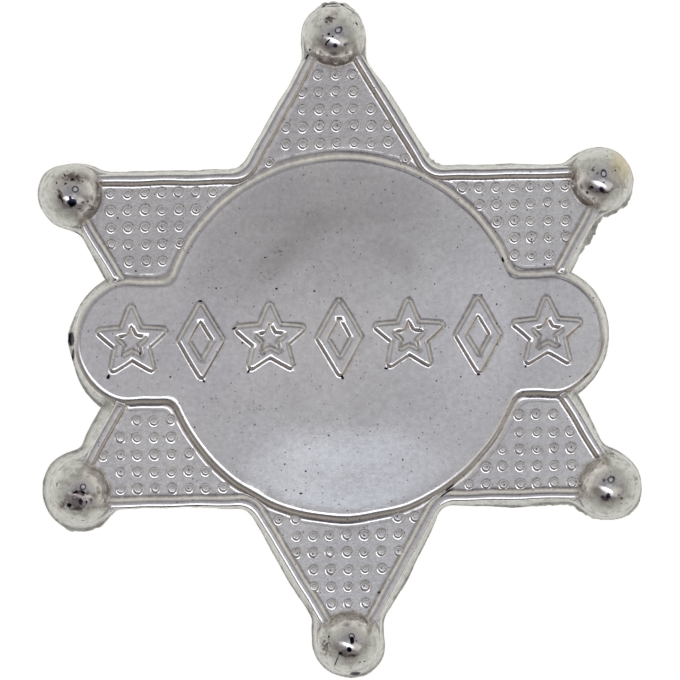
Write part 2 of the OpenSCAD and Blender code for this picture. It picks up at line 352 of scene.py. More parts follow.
def inside_outline(x, y, corners):
    """Distance inside a closed outline of straight sides, below zero outside it."""
    nearest = np.full(np.shape(x), np.inf)
    inside = np.zeros(np.shape(x), bool)
    for (ax, ay), (bx, by) in zip(corners, corners[1:] + corners[:1]):
        ex, ey = bx - ax, by - ay
        t = np.clip(((x - ax) * ex + (y - ay) * ey) / (ex * ex + ey * ey), 0, 1)
        nearest = np.minimum(nearest, np.hypot(x - ax - t * ex, y - ay - t * ey))
        if ey:
            inside ^= ((ay > y) != (by > y)) & (x < ax + (y - ay) * ex / ey)
    return np.where(inside, nearest, -nearest)


def star_corners(outer, inner):
    return [
        (r * math.cos(math.radians(90 + 36 * k)), r * math.sin(math.radians(90 + 36 * k)))
        for k, r in enumerate([outer, inner] * 5)
    ]


def lozenge_corners(half_x, half_y):
    return [(half_x, 0), (0, half_y), (-half_x, 0), (0, -half_y)]


def ornament_outlines(k):
    """Outer and sunk outline of one ornament, a star at even places and a lozenge at odd ones."""
    if k % 2 == 0:
        shrink = 1 - 2.2 * CORNER_R / STAR_RADII[0]
        share = SUNK_STAR_R / STAR_RADII[0]
        return (
            star_corners(STAR_RADII[0] * shrink, STAR_RADII[1] * shrink),
            star_corners(STAR_RADII[0] * share, STAR_RADII[1] * share * 1.1),
        )
    shrink = 1 - CORNER_R / (LOZENGE[0] * LOZENGE[1] / math.hypot(*LOZENGE))
    share = SUNK_LOZENGE_Y / LOZENGE[1]
    return (
        lozenge_corners(LOZENGE[0] * shrink, LOZENGE[1] * shrink),
        lozenge_corners(LOZENGE[0] * share, LOZENGE[1] * share),
    )


def ornament_place(k):
    return ORNAMENT_PITCH * (k - (ORNAMENT_COUNT - 1) / 2)


def inside_ornaments(x, y):
    """Distance inside the raised strokes of the ornaments."""
    best = np.full(np.shape(x), -9.0)
    for k in range(ORNAMENT_COUNT):
        outer, sunk = ornament_outlines(k)
        dx = x - ornament_place(k)
        body = inside_outline(dx, y, outer) + CORNER_R
        hole = inside_outline(dx, y, sunk) + SUNK_EDGE
        best = np.maximum(best, np.minimum(body, -hole))
    return best


def rib_height(star):
    """Height of a rib above the field, with its round crest and the start of its outside."""
    inner = swell((RIB_CREST + RIB_INNER - star) / RIB_INNER, RIB_PEAK)
    out = np.maximum(RIB_CREST - star, 0) / RIB_CREST
    return RIB_H * inner - RIB_ROUND * out ** 2 - RIB_TURN * out ** 8


def ball_height(r):
    """Height of a ball above the field, straight where it would turn upright."""
    edge = BALL_R * BALL_STRAIGHT
    slope = edge / math.sqrt(BALL_R ** 2 - edge ** 2)
    height = BALL_Z + np.sqrt(BALL_R ** 2 - np.minimum(r, edge) ** 2) - ARM_H
    return soft_max(height - slope * np.maximum(r - edge, 0), 0, BALL_FILLET)


def crown(x, y):
    """The shallow crown of the disc."""
    r = np.minimum(np.hypot(x - DISC_X, y) / (DISC_R - EDGE_RUN), 1)
    return CROWN_RISE * (1 - r ** 3) ** 1.6


def sunk_dots(x, y):
    """The dots that show through the inner side of a ball."""
    off_x = x - DOT_PITCH * np.round(x / DOT_PITCH)
    off_y = y - DOT_PITCH * (np.floor(y / DOT_PITCH) + 0.5)
    r = from_tips(x, y)
    ring = smooth((r - SUNK_FROM) / 0.6) * smooth((SUNK_TO - r) / 0.5)
    where = ring * smooth((inside_star(x, y) - 0.9) / 0.3)
    return SUNK_DOT_RISE * dome(np.hypot(off_x, off_y), SUNK_DOT_R) * where


def relief(x, y):
    """Height of the front above the rim."""
    x, y = wander(x, y)
    middle = inside_plateau(x, y)
    star = inside_star(x, y)
    ribs = rib_height(star)
    plateau = PLATEAU_RISE * swell(middle / EDGE_RUN, EDGE_PEAK)
    groove = GROOVE * dome(np.abs(middle), GROOVE_HALF) * (1 - smooth(ribs / 0.2))
    rib = np.maximum(ribs, 0) * (1 - smooth(middle / EDGE_RUN))
    ball = ball_height(from_tips(x, y) * (1 + FIELD_SIDE * smooth(star)))
    strokes = swell(inside_ornaments(x, y) / ORNAMENT_SLOPE + 0.5, EDGE_PEAK)
    top = (rib ** 4 + plateau ** 4 + ball ** 4) ** 0.25
    return ARM_H + top - groove + crown(x, y) + sunk_dots(x, y) + ORNAMENT_RISE * strokes


def ceiling(x, y):
    """Height of the hollow back above the rim."""
    middle = smooth((inside_plateau(x, y) - WALL) / CEILING_RUN)
    level = CEILING_ARM + (CEILING_MIDDLE - CEILING_ARM) * middle
    inner = BALL_R - WALL
    ball = BALL_Z + np.sqrt(np.maximum(inner ** 2 - from_tips(x, y) ** 2, 0)) - level
    return level + soft_max(ball, 0, CEILING_FILLET)


def cover(x, y, ovals):
    """How far inside some ovals each point lies, from 0 outside up to each oval's own value."""
    best = np.zeros(np.shape(x))
    for (place_x, place_y), (half_x, half_y), turn, most in ovals:
        c, s = math.cos(math.radians(turn)), math.sin(math.radians(turn))
        along = ((x - place_x) * c + (y - place_y) * s) / half_x
        across = ((y - place_y) * c - (x - place_x) * s) / half_y
        best = np.maximum(best, most * np.clip(1.4 - np.hypot(along, across), 0, 1))
    return best


def slopes(height, x, y, step=0.01):
    """Rise per millimetre along x and along y."""
    along_x = (height(x + step, y) - height(x - step, y)) / (2 * step)
    along_y = (height(x, y + step) - height(x, y - step)) / (2 * step)
    return along_x, along_y


# Placing points in the plan

def onto(field, points, level, rounds=4):
    """Moves points along the slope of a field onto one of its level lines."""
    for _ in range(rounds):
        gx, gy = slopes(field, points[:, 0], points[:, 1])
        off = level - field(points[:, 0], points[:, 1])
        share = off / np.maximum(gx * gx + gy * gy, 0.05)
        points = points + np.stack([gx * share, gy * share], 1)
    return points


def walk_round(field, start, step):
    """Walks once round the zero line of a field, with its inside on the left."""
    point = onto(field, np.array([start]), 0)
    walked = [point[0]]
    while len(walked) < 6000:
        gx, gy = slopes(field, point[:, 0], point[:, 1])
        ahead = np.stack([gy, -gx], 1) / np.hypot(gx, gy)[:, None]
        point = onto(field, point + step * ahead, 0, 2)
        if len(walked) > 20 and np.linalg.norm(point[0] - walked[0]) < 0.75 * step:
            break
        walked.append(point[0])
    return np.array(walked)


def hex_grid(reach_x, reach_y, pitch):
    """A grid of points in rows that are half a pitch out of step."""
    rows = np.arange(-reach_y, reach_y, pitch * math.sqrt(0.75))
    columns = np.arange(-reach_x, reach_x, pitch)
    return np.array([
        (x + (pitch / 2 if j % 2 else 0), y) for j, y in enumerate(rows) for x in columns
    ])


def thinned(points, gap, taken):
    """Those points that lie at least a gap from all taken so far, which they join."""
    kept = []
    cell = 0.3
    for x, y in points:
        i, j = int(x // cell), int(y // cell)
        near = (
            (x - px) ** 2 + (y - py) ** 2 < gap * gap
            for a in (i - 1, i, i + 1)
            for b in (j - 1, j, j + 1)
            for px, py in taken.get((a, b), ())
        )
        if not any(near):
            taken.setdefault((i, j), []).append((x, y))
            kept.append((x, y))
    return np.array(kept).reshape(-1, 2)


def line_rows(field, levels, spacing, where):
    """Rows of points along the zero line of a field, at several distances from it."""
    fine = where[np.abs(field(where[:, 0], where[:, 1])) < 0.35]
    line = thinned(onto(field, fine, 0), spacing, {})
    rows = []
    for sign in (1, -1):
        row = line
        for level in sorted((v for v in levels if v * sign > 0), key=abs):
            row = onto(field, row, level, 2)
            rows.append(row)
    return np.concatenate([line] + rows)


def spot_points(pitch):
    """A fine patch of points over each spot of bare plastic."""
    points = []
    for (x, y), (half_x, half_y), turn, _ in SPOTS:
        c, s = math.cos(math.radians(turn)), math.sin(math.radians(turn))
        for u in np.arange(-1.5 * half_x, 1.5 * half_x + pitch, pitch):
            for v in np.arange(-1.5 * half_y, 1.5 * half_y + pitch, pitch):
                points.append((x + u * c - v * s, y + u * s + v * c))
    return np.array(points)


def front_points(loop):
    """All points of the front inside the shoulder loop, dense where the relief bends."""
    everywhere = hex_grid(*REACH, OPEN_PITCH)
    inside = inside_shoulder(everywhere[:, 0], everywhere[:, 1])
    everywhere = everywhere[inside > 0.15]
    taken = {}
    thinned(loop, 0, taken)
    rows = []
    row = loop
    for level in np.concatenate([np.arange(0.05, 0.5, 0.05), np.arange(0.5, 1.66, 0.075)]):
        row = onto(inside_shoulder, row, level, 2)
        rows.append(thinned(row, 0.05, taken))
    steps = np.arange(-0.49, 0.5, EDGE_STEP)
    near_banner = everywhere[np.abs(everywhere[:, 1]) < 5.5]
    strokes = line_rows(inside_ornaments, steps, 0.2, near_banner)
    edge_steps = np.arange(-0.98, 0.71, EDGE_STEP)
    edge = line_rows(lambda x, y: inside_plateau(x, y) - EDGE_RUN / 2, edge_steps, 0.3, everywhere)
    rings = [
        (tx + r * math.cos(a), ty + r * math.sin(a))
        for tx, ty in TIPS
        for r in np.arange(0.15, 4.0, 0.14)
        for a in np.arange(0, math.tau, 0.22 / max(r, 0.2))
    ]
    spots = spot_points(SPOT_PITCH)
    for points, gap in (
        (strokes, 0.05), (edge, 0.05), (spots, 0.05), (np.array(rings), 0.11), (everywhere, 0.3),
    ):
        points = points[inside_shoulder(points[:, 0], points[:, 1]) > 0.05]
        rows.append(thinned(points, gap, taken))
    return np.concatenate(rows)


def triangulated(loop, points):
    """Triangles that fill a loop, through the points inside it."""
    flat = [Vector(p) for p in np.concatenate([loop, points])]
    corners, _, faces, origins, _, _ = delaunay_2d_cdt(flat, [], [list(range(len(loop)))], 1, 1e-6)
    order = [o[0] for o in origins]
    return np.array([order[c] for f in faces for c in f]).reshape(-1, 3)


def round_reach(angles, table):
    """A value given at compass points, read smoothly at any angle."""
    at = np.array([a for a, _ in table], float)
    value = np.array([v for _, v in table])
    at = np.concatenate([at - 360, at, at + 360])
    return np.interp(angles, at, np.tile(value, 3))


def flank_reach(loop):
    """How far the foot of the flank stands out at each point of the shoulder loop."""
    angles = np.degrees(np.arctan2(loop[:, 1], loop[:, 0])) % 360
    reach = round_reach(angles, FLANK_REACH)
    for (tx, ty), table in zip(TIPS, BALL_REACH):
        angles = np.degrees(np.arctan2(loop[:, 1] - ty, loop[:, 0] - tx)) % 360
        near = smooth((4.05 - np.hypot(loop[:, 0] - tx, loop[:, 1] - ty)) / 0.4)
        reach = reach + (round_reach(angles, table) - reach) * near
    for height, wave, seed in ((0.05, 3, 3), (0.025, 1, 4)):
        reach = reach + height * ripple(loop[:, 0], loop[:, 1], wave, seed)
    for _ in range(6):
        reach = (np.roll(reach, 1) + reach + np.roll(reach, -1)) / 3
    return np.maximum(reach, 0.05)


def flash_reach(loop):
    """How far the thin flash of the mould stands out past the foot of the flank."""
    angles = np.degrees(np.arctan2(loop[:, 1], loop[:, 0])) % 360
    arc = np.hypot(loop[:, 0], loop[:, 1]) * math.pi / 180
    flake = 0
    for at, half, reach in FLASH:
        away = np.abs((angles - at + 180) % 360 - 180) * arc
        flake = flake + reach * smooth(1.5 - away / half)
    ragged = 0.65 + 0.35 * ripple(loop[:, 0], loop[:, 1], 0.7, 5)
    everywhere = 0.05 * np.maximum(ripple(loop[:, 0], loop[:, 1], 1.6, 6), 0)
    return flake * ragged + everywhere


def star_skin_mesh():
    """The whole skin: front, flanks, rim, inner wall and the ceiling of the hollow."""
    loop = walk_round(inside_shoulder, (TIPS[0][0], TIPS[0][1] + TIP_SHOULDER), LOOP_STEP)
    count = len(loop)
    front = np.concatenate([loop, front_points(loop)])
    triangles = triangulated(loop, front[count:])
    height = relief(front[:, 0], front[:, 1])
    vertices = [np.column_stack([front, height])]
    faces = [triangles]

    gx, gy = slopes(inside_shoulder, loop[:, 0], loop[:, 1])
    outward = -np.stack([gx, gy], 1) / np.hypot(gx, gy)[:, None]
    foot = flank_reach(loop)
    flash = flash_reach(loop)
    rings = []
    for share in FLANK_LEVELS:
        rings.append((foot * (1 - share), height[:count] * share ** FLANK_BOW))
    rings.append((foot + 0.2 * flash, np.full(count, FLASH_Z + 0.12)))
    rings.append((foot + 0.9 * flash, np.full(count, FLASH_Z)))
    rings.append((foot + flash, np.full(count, FLASH_Z * 0.4)))
    rings.append((foot + 0.6 * flash, np.zeros(count)))
    # The level rim on which the badge lies, then the inner wall up to the ceiling of the hollow
    for inward, share in ((0, 0), (0.06, 0.5), (0.12, 0.85), (0.3, 1.0)):
        line = loop - outward * (WALL + inward)
        rings.append((np.full(count, -WALL - inward), share * ceiling(line[:, 0], line[:, 1])))
    start = len(front)
    above = np.arange(count)
    after = np.roll(above, -1)
    for out, z in rings:
        vertices.append(np.column_stack([loop + outward * out[:, None], z]))
        below = start + np.arange(count)
        faces.append(np.stack([above, below, below[after]], 1))
        faces.append(np.stack([above, below[after], above[after]], 1))
        above = below
        start += count

    hollow = hex_grid(*REACH, BACK_PITCH)
    hollow = hollow[inside_shoulder(hollow[:, 0], hollow[:, 1]) > WALL + 0.6]
    back = triangulated(line, hollow)
    renumber = np.concatenate([above, start + np.arange(len(hollow))])
    vertices.append(np.column_stack([hollow, ceiling(hollow[:, 0], hollow[:, 1])]))
    faces.append(renumber[back][:, ::-1])
    return np.concatenate(vertices), np.concatenate(faces), len(front)


def new_piece(name, vertices, faces):
    """A smooth piece from faces and points in millimetres, with its place in its mesh."""
    mesh = bpy.data.meshes.new(name)
    mesh.from_pydata((np.asarray(vertices) * MM).tolist(), [], np.asarray(faces).tolist())
    mesh.shade_smooth()
    piece = bpy.data.objects.new(name, mesh)
    bpy.context.scene.collection.objects.link(piece)
    return piece


def store(mesh, name, values):
    """Keeps one number for each point of a mesh, for its material to read."""
    mesh.attributes.new(name, "FLOAT", "POINT").data.foreach_set("value", values.astype(np.float32))


def build_star_skin():
    """The skin as a piece, with exact normals on its front and the numbers its material reads."""
    vertices, faces, front_count = star_skin_mesh()
    piece = new_piece("star_skin", vertices, faces)
    mesh = piece.data
    mesh.set_sharp_from_angle(angle=math.radians(SHARP_EDGE))
    x, y = vertices[:, 0], vertices[:, 1]
    is_front = np.arange(len(vertices)) < front_count
    gx, gy = slopes(relief, x, y)
    upward = np.stack([-gx, -gy, np.ones(len(x))], 1)
    upward = upward / np.linalg.norm(upward, axis=1)[:, None]
    corner_vertex = np.zeros(len(mesh.loops), int)
    mesh.loops.foreach_get("vertex_index", corner_vertex)
    normals = np.where(is_front[corner_vertex][:, None], upward[corner_vertex], 0)
    mesh.normals_split_custom_set(normals.tolist())

    tilt = np.degrees(np.arctan(np.hypot(gx, gy)))
    star = inside_star(x, y)
    r = from_tips(x, y)
    # Painted shade: steep sides and the outer half of the balls get a darker grey colour, which dims what
    # they reflect; they are also rougher
    outer = smooth((r - 1.2) / 0.8) * smooth((3.9 - r) / 0.3)
    thin = np.maximum(smooth((tilt - 32) / 40), outer) * (1 - 0.7 * smooth((star - 0.2) / 0.8))
    store(mesh, "side_shade_and_matte", np.where(is_front, thin, 1.0))
    field = smooth((star - 1.2) / 0.3) * smooth(-inside_plateau(x, y) / 0.3) * smooth((r - 3.5) / 0.3)
    store(mesh, "grain", np.where(is_front, field, 0.0))
    ridge = smooth((tilt - 2) / 8) * smooth((r - 3.4) / 0.4)
    store(mesh, "ridge", np.where(is_front, ridge, 0.0))
    near_ball = smooth((r - 2.0) / 0.5) * smooth((3.9 - r) / 0.6) * smooth((star + 0.2) / 0.5)
    store(mesh, "bare", cover(x, y, SPOTS))
    store(mesh, "patch", cover(x, y, PATCHES))
    # Painted shade where the front is hollow, and in a ring round the foot of each ball
    h = 0.12
    around = relief(x + h, y) + relief(x - h, y) + relief(x, y + h) + relief(x, y - h)
    hollow = smooth((around - 4 * relief(x, y)) / (h * h) / 2.5)
    store(mesh, "hollow_shade", np.where(is_front, np.maximum(0.6 * near_ball, 0.6 * hollow), 0.0))
    return piece


# Geometry Nodes

def build_pebble_dots():
    """The pebble dots, one flattened dome on each point of a square grid in the open fields."""
    reach = math.ceil(REACH[1] / DOT_PITCH)
    grid = np.array([
        (DOT_PITCH * i, DOT_PITCH * (j + 0.5))
        for i in range(-reach, reach + 1)
        for j in range(-reach, reach + 1)
    ])
    nearest = np.argmin([np.hypot(grid[:, 0] - tx, grid[:, 1] - ty) for tx, ty in TIPS], axis=0)
    grid = grid + np.array(ARM_SHIFT)[nearest]
    x, y = grid[:, 0], grid[:, 1]
    clear = np.minimum.reduce([
        inside_star(x, y) - RIB_CREST - RIB_INNER,
        -inside_plateau(x, y),
        from_tips(x, y) - BALL_R,
    ])
    grid = grid[clear > DOT_KEEP]
    points = np.column_stack([grid, np.full(len(grid), ARM_H)])
    piece = new_piece("pebble_dots", points, np.zeros((0, 3), int))

    tree = bpy.data.node_groups.new("pebble_dots", "GeometryNodeTree")
    face = tree.interface
    face.new_socket("Geometry", in_out="INPUT", socket_type="NodeSocketGeometry")
    inputs = {
        "Radius": DOT_R * MM,
        "Rise": DOT_RISE * MM,
        "Size variation": DOT_VARIATION,
        "Wander": DOT_WANDER * MM,
    }
    for name in inputs:
        face.new_socket(name, in_out="INPUT", socket_type="NodeSocketFloat")
    face.new_socket("Seed", in_out="INPUT", socket_type="NodeSocketInt")
    face.new_socket("Material", in_out="INPUT", socket_type="NodeSocketMaterial")
    face.new_socket("Geometry", in_out="OUTPUT", socket_type="NodeSocketGeometry")
    given = add(tree, "NodeGroupInput").outputs

    # A cone gives even rings; each ring is then set to the height of the dot there
    cone = add(tree, "GeometryNodeMeshCone", {"fill_type": "NGON"}, {
        "Vertices": DOT_SIDES, "Side Segments": DOT_RINGS, "Fill Segments": 1,
        "Radius Top": 0.0, "Radius Bottom": given["Radius"], "Depth": MM,
    })
    place = add(tree, "GeometryNodeInputPosition").outputs[0]
    flat = add(tree, "ShaderNodeVectorMath", {"operation": "MULTIPLY"}, {0: place, 1: (1, 1, 0)})
    radius = add(tree, "ShaderNodeVectorMath", {"operation": "LENGTH"}, {0: flat.outputs[0]})
    share = add(tree, "ShaderNodeMath", {"operation": "DIVIDE"}, {
        0: radius.outputs["Value"], 1: given["Radius"],
    })
    bell = 0.0
    for start, end, rise in DOT_STEPS:
        step = add(tree, "ShaderNodeMapRange", {"interpolation_type": "SMOOTHSTEP"}, {
            "Value": share.outputs[0], 1: start, 2: end, 4: rise,
        }).outputs[0]
        bell = add(tree, "ShaderNodeMath", {"operation": "ADD"}, {0: bell, 1: step}).outputs[0]
    # The foot ends a thousandth of a millimetre under the field, so that it runs out into it
    high = add(tree, "ShaderNodeMath", {"operation": "MULTIPLY_ADD"}, {
        0: bell, 1: given["Rise"], 2: -0.001 * MM,
    })
    spot = add(tree, "ShaderNodeSeparateXYZ", {}, {0: place})
    placed = add(tree, "ShaderNodeCombineXYZ", {}, {
        "X": spot.outputs["X"], "Y": spot.outputs["Y"], "Z": high.outputs[0],
    })
    shaped = add(tree, "GeometryNodeSetPosition", {}, {
        "Geometry": cone.outputs["Mesh"], "Position": placed.outputs[0],
    })
    kept = add(tree, "GeometryNodeStoreNamedAttribute", {"data_type": "FLOAT_VECTOR", "domain": "POINT"}, {
        "Geometry": shaped.outputs[0], "Name": "dot_place", "Value": flat.outputs[0],
    })

    offset = add(tree, "FunctionNodeRandomValue", {"data_type": "FLOAT_VECTOR"}, {
        "Min": (-1, -1, 0), "Max": (1, 1, 0), "Seed": given["Seed"],
    })
    drift = add(tree, "ShaderNodeVectorMath", {"operation": "SCALE"}, {
        0: offset.outputs[0], "Scale": given["Wander"],
    })
    moved = add(tree, "GeometryNodeSetPosition", {}, {
        "Geometry": given["Geometry"], "Offset": drift.outputs[0],
    })
    low, big = [
        add(tree, "ShaderNodeMath", {"operation": way}, {0: 1.0, 1: given["Size variation"]}).outputs[0]
        for way in ("SUBTRACT", "ADD")
    ]
    scale = add(tree, "FunctionNodeRandomValue", {"data_type": "FLOAT"}, {
        "Min": low, "Max": big, "Seed": given["Seed"],
    })
    turn = add(tree, "FunctionNodeRandomValue", {"data_type": "FLOAT_VECTOR"}, {
        "Min": (-0.03, -0.03, 0), "Max": (0.03, 0.03, 6.28), "Seed": given["Seed"],
    })
    copies = add(tree, "GeometryNodeInstanceOnPoints", {}, {
        "Points": moved.outputs[0], "Instance": kept.outputs[0],
        "Scale": scale.outputs["Value"], "Rotation": turn.outputs[0],
    })
    chance = add(tree, "FunctionNodeRandomValue", {"data_type": "FLOAT"}, {"Seed": 11})
    marked = add(tree, "GeometryNodeStoreNamedAttribute", {"data_type": "FLOAT", "domain": "INSTANCE"}, {
        "Geometry": copies.outputs[0], "Name": "dot_chance", "Value": chance.outputs["Value"],
    })
    real = add(tree, "GeometryNodeRealizeInstances", {}, {"Geometry": marked.outputs[0]})
    soft = add(tree, "GeometryNodeSetShadeSmooth", {}, {"Geometry": real.outputs[0]})
    painted = add(tree, "GeometryNodeSetMaterial", {}, {
        "Geometry": soft.outputs[0], "Material": given["Material"],
    })
    out = add(tree, "NodeGroupOutput")
    tree.links.new(painted.outputs[0], out.inputs[0])

    modifier = piece.modifiers.new("pebble_dots", "NODES")
    modifier.node_group = tree
    inputs["Seed"] = 7
    inputs["Material"] = PLATED
    for item in tree.interface.items_tree:
        if item.in_out == "INPUT" and item.name in inputs:
            modifier[item.identifier] = inputs[item.name]
    return as_plain_mesh(piece)


def as_plain_mesh(piece):
    """Turns the result of a piece's modifiers into its own plain mesh."""
    graph = bpy.context.evaluated_depsgraph_get()
    mesh = bpy.data.meshes.new_from_object(piece.evaluated_get(graph), depsgraph=graph)
    piece.modifiers.clear()
    piece.data = mesh
    mesh.name = piece.name
    return piece


# Materials

def hex_rgba(code):
    """An sRGB hex colour as the linear colour that shaders use."""
    parts = [int(code[i:i + 2], 16) / 255 for i in (1, 3, 5)]
    return [c / 12.92 if c <= 0.04045 else ((c + 0.055) / 1.055) ** 2.4 for c in parts] + [1.0]


def add(tree, kind, settings=None, links=None):
    """Adds a node with its settings, and links or sets its inputs.

    Inputs 1 to 4 of Map Range are the start and end of what it reads and of what it gives, and
    inputs 0, 6 and 7 of a colour Mix are its share and its two colours.
    """
    node = tree.nodes.new(kind)
    for key, value in (settings or {}).items():
        setattr(node, key, value)
    for key, value in (links or {}).items():
        if isinstance(value, bpy.types.NodeSocket):
            tree.links.new(value, node.inputs[key])
        else:
            node.inputs[key].default_value = value
    return node


def new_material(name):
    material = bpy.data.materials.new(name)
    material.use_nodes = True
    tree = material.node_tree
    tree.nodes.clear()
    shader = add(tree, "ShaderNodeBsdfPrincipled")
    add(tree, "ShaderNodeOutputMaterial", {}, {"Surface": shader.outputs[0]})
    return material, tree, shader


def blot(tree, plan, place, half, turn, softness, most=1.0):
    """How far inside an oval each point of a level plan lies, from 0 outside up to a value inside."""
    local = add(tree, "ShaderNodeMapping", {"vector_type": "TEXTURE"}, {
        "Vector": plan, "Location": (*place, 0),
        "Rotation": (0, 0, math.radians(turn)), "Scale": (*half, 1),
    })
    away = add(tree, "ShaderNodeVectorMath", {"operation": "LENGTH"}, {0: local.outputs[0]})
    return add(tree, "ShaderNodeMapRange", {"interpolation_type": "SMOOTHSTEP"}, {
        "Value": away.outputs["Value"], 1: 1 + softness, 2: max(1 - softness, 0), 4: most,
    }).outputs[0]


def specks(tree, place, cell, largest, share):
    """Round specks in cells of a given size in millimetres, in a share of the cells."""
    cells = add(tree, "ShaderNodeTexVoronoi", {}, {"Vector": place, "Scale": 1 / MM / cell})
    pick = add(tree, "ShaderNodeSeparateColor", {}, {0: cells.outputs["Color"]})
    size = add(tree, "ShaderNodeMapRange", {}, {
        "Value": pick.outputs[0], 1: 1 - share, 3: 0.0, 4: largest / cell,
    })
    gap = add(tree, "ShaderNodeMath", {"operation": "SUBTRACT"}, {
        0: size.outputs[0], 1: cells.outputs["Distance"],
    })
    return add(tree, "ShaderNodeMapRange", {}, {
        "Value": gap.outputs[0], 1: 0.0, 2: 0.25 * largest / cell,
    }).outputs[0]


def vacuum_plated_polystyrene():
    """Polystyrene moulding with an aluminium skin laid on in a vacuum and lacquered.

    The eye gets a mirror that follows each ripple of the plastic, painted brown shade in the hollows
    and round the balls, painted grey shade on steep sides, and specks of bare dark plastic.
    """
    material, tree, shader = new_material("vacuum_plated_polystyrene")
    place = add(tree, "ShaderNodeTexCoord").outputs["Object"]
    stored = {
        name: add(tree, "ShaderNodeAttribute", {"attribute_name": name}).outputs["Fac"]
        for name in ("side_shade_and_matte", "grain", "ridge", "hollow_shade", "patch", "bare", "dot_chance")
    }
    noise = {
        name: add(tree, "ShaderNodeTexNoise", {}, {
            "Vector": place, "Scale": 1 / MM / wave, "Detail": detail, "Roughness": roughness,
        }).outputs["Fac"]
        for name, wave, detail, roughness in NOISES
    }

    # The skin is a little cloudy. Steep sides and the outer half of the balls get painted shade, a darker
    # grey with browner streaks
    cloudy = add(tree, "ShaderNodeMapRange", {}, {"Value": noise["cloud"], 1: 0.35, 2: 0.65})
    bright = add(tree, "ShaderNodeMix", {"data_type": "RGBA"}, {
        0: cloudy.outputs[0], 6: hex_rgba("#F6F5F3"), 7: hex_rgba("#EDECEC"),
    })
    browner = add(tree, "ShaderNodeMapRange", {}, {"Value": noise["streak"], 1: 0.48, 2: 0.72})
    side = add(tree, "ShaderNodeMix", {"data_type": "RGBA"}, {
        0: browner.outputs[0], 6: hex_rgba("#D9DBD6"), 7: hex_rgba("#B9B7B1"),
    })
    coat = add(tree, "ShaderNodeMix", {"data_type": "RGBA"}, {
        0: stored["side_shade_and_matte"], 6: bright.outputs[2], 7: side.outputs[2],
    })
    # A fine mottle dulls all of it, and the fields a little more
    mottled = add(tree, "ShaderNodeMapRange", {}, {"Value": noise["mottle"], 1: 0.3, 2: 0.7})
    dulled = add(tree, "ShaderNodeMix", {"data_type": "RGBA"}, {
        0: mottled.outputs[0], 6: hex_rgba("#FFFFFF"), 7: hex_rgba("#D6D4D2"),
    })
    worn = add(tree, "ShaderNodeMapRange", {}, {"Value": stored["grain"], 3: 0.75, 4: 0.8})
    colour = add(tree, "ShaderNodeMix", {"data_type": "RGBA", "blend_type": "MULTIPLY"}, {
        0: worn.outputs[0], 6: coat.outputs[2], 7: dulled.outputs[2],
    }).outputs[2]

    # What lies over the skin, layer on layer: its share at each point, and its colour
    layers = []

    # Painted shade, brown and in patches, where the front is hollow and round the foot of the balls
    patchy = add(tree, "ShaderNodeMapRange", {}, {
        "Value": noise["streak"], 1: 0.35, 2: 0.62, 3: 0.1, 4: 1.0,
    })
    hollow_shade_share = add(tree, "ShaderNodeMath", {"operation": "MULTIPLY"}, {
        0: stored["hollow_shade"], 1: patchy.outputs[0],
    })
    layers.append((hollow_shade_share.outputs[0], "#9C8C86"))

    # Painted shade, grey-brown and in patches, along the foot of the flanks where they meet the floor
    height = add(tree, "ShaderNodeSeparateXYZ", {}, {0: place})
    low = add(tree, "ShaderNodeMapRange", {}, {"Value": height.outputs["Z"], 1: 0.6 * MM, 2: 0.2 * MM})
    torn = add(tree, "ShaderNodeMapRange", {}, {"Value": noise["streak"], 1: 0.45, 2: 0.62, 4: 0.5})
    edge = add(tree, "ShaderNodeMath", {"operation": "MULTIPLY"}, {0: low.outputs[0], 1: torn.outputs[0]})
    layers.append((edge.outputs[0], "#6F665D"))

    # Dots: some have a pinhole above their middle
    dot = add(tree, "ShaderNodeAttribute", {"attribute_name": "dot_place"}).outputs["Vector"]
    some = add(tree, "ShaderNodeMath", {"operation": "GREATER_THAN"}, {0: stored["dot_chance"], 1: 0.8})
    hole = blot(tree, dot, (0.0, 0.1 * MM), (0.09 * MM, 0.08 * MM), 0, 0.3)
    pinhole = add(tree, "ShaderNodeMath", {"operation": "MULTIPLY"}, {0: hole, 1: some.outputs[0]})
    layers.append((pinhole.outputs[0], "#2B282C"))

    # Specks up to about 0.2 mm across, and darker ones up to about 0.3 mm
    layers.append((specks(tree, place, 0.45, 0.11, 0.5), "#8F8A88"))
    layers.append((specks(tree, place, 1.35, 0.14, 0.5), "#4A4648"))

    # Broad stains
    flat = add(tree, "ShaderNodeVectorMath", {"operation": "MULTIPLY"}, {0: place, 1: (1, 1, 0)})
    for (x, y), (half_x, half_y), turn, code, strength in STAINS:
        middle = (x * MM, y * MM)
        half = (half_x * MM, half_y * MM)
        layers.append((blot(tree, flat.outputs[0], middle, half, turn, 0.8, strength), code))

    # Brown patches and spots of bare plastic, with ragged edges
    for name, depth, lift, softness, code in RAGGED:
        left = add(tree, "ShaderNodeMath", {"operation": "MULTIPLY_ADD"}, {
            0: noise["ragged"], 1: depth, 2: lift,
        })
        torn = add(tree, "ShaderNodeMath", {"operation": "ADD"}, {0: stored[name], 1: left.outputs[0]})
        gone = add(tree, "ShaderNodeMapRange", {"interpolation_type": "SMOOTHSTEP"}, {
            "Value": torn.outputs[0], 1: 0.0, 2: softness,
        })
        most = add(tree, "ShaderNodeMath", {"operation": "MULTIPLY"}, {0: gone.outputs[0], 1: stored[name]})
        share = add(tree, "ShaderNodeMath", {"operation": "MULTIPLY", "use_clamp": True}, {
            0: most.outputs[0], 1: 1.6,
        })
        layers.append((share.outputs[0], code))

    for share, code in layers:
        colour = add(tree, "ShaderNodeMix", {"data_type": "RGBA"}, {
            0: share, 6: colour, 7: hex_rgba(code),
        }).outputs[2]
    tree.links.new(colour, shader.inputs["Base Color"])

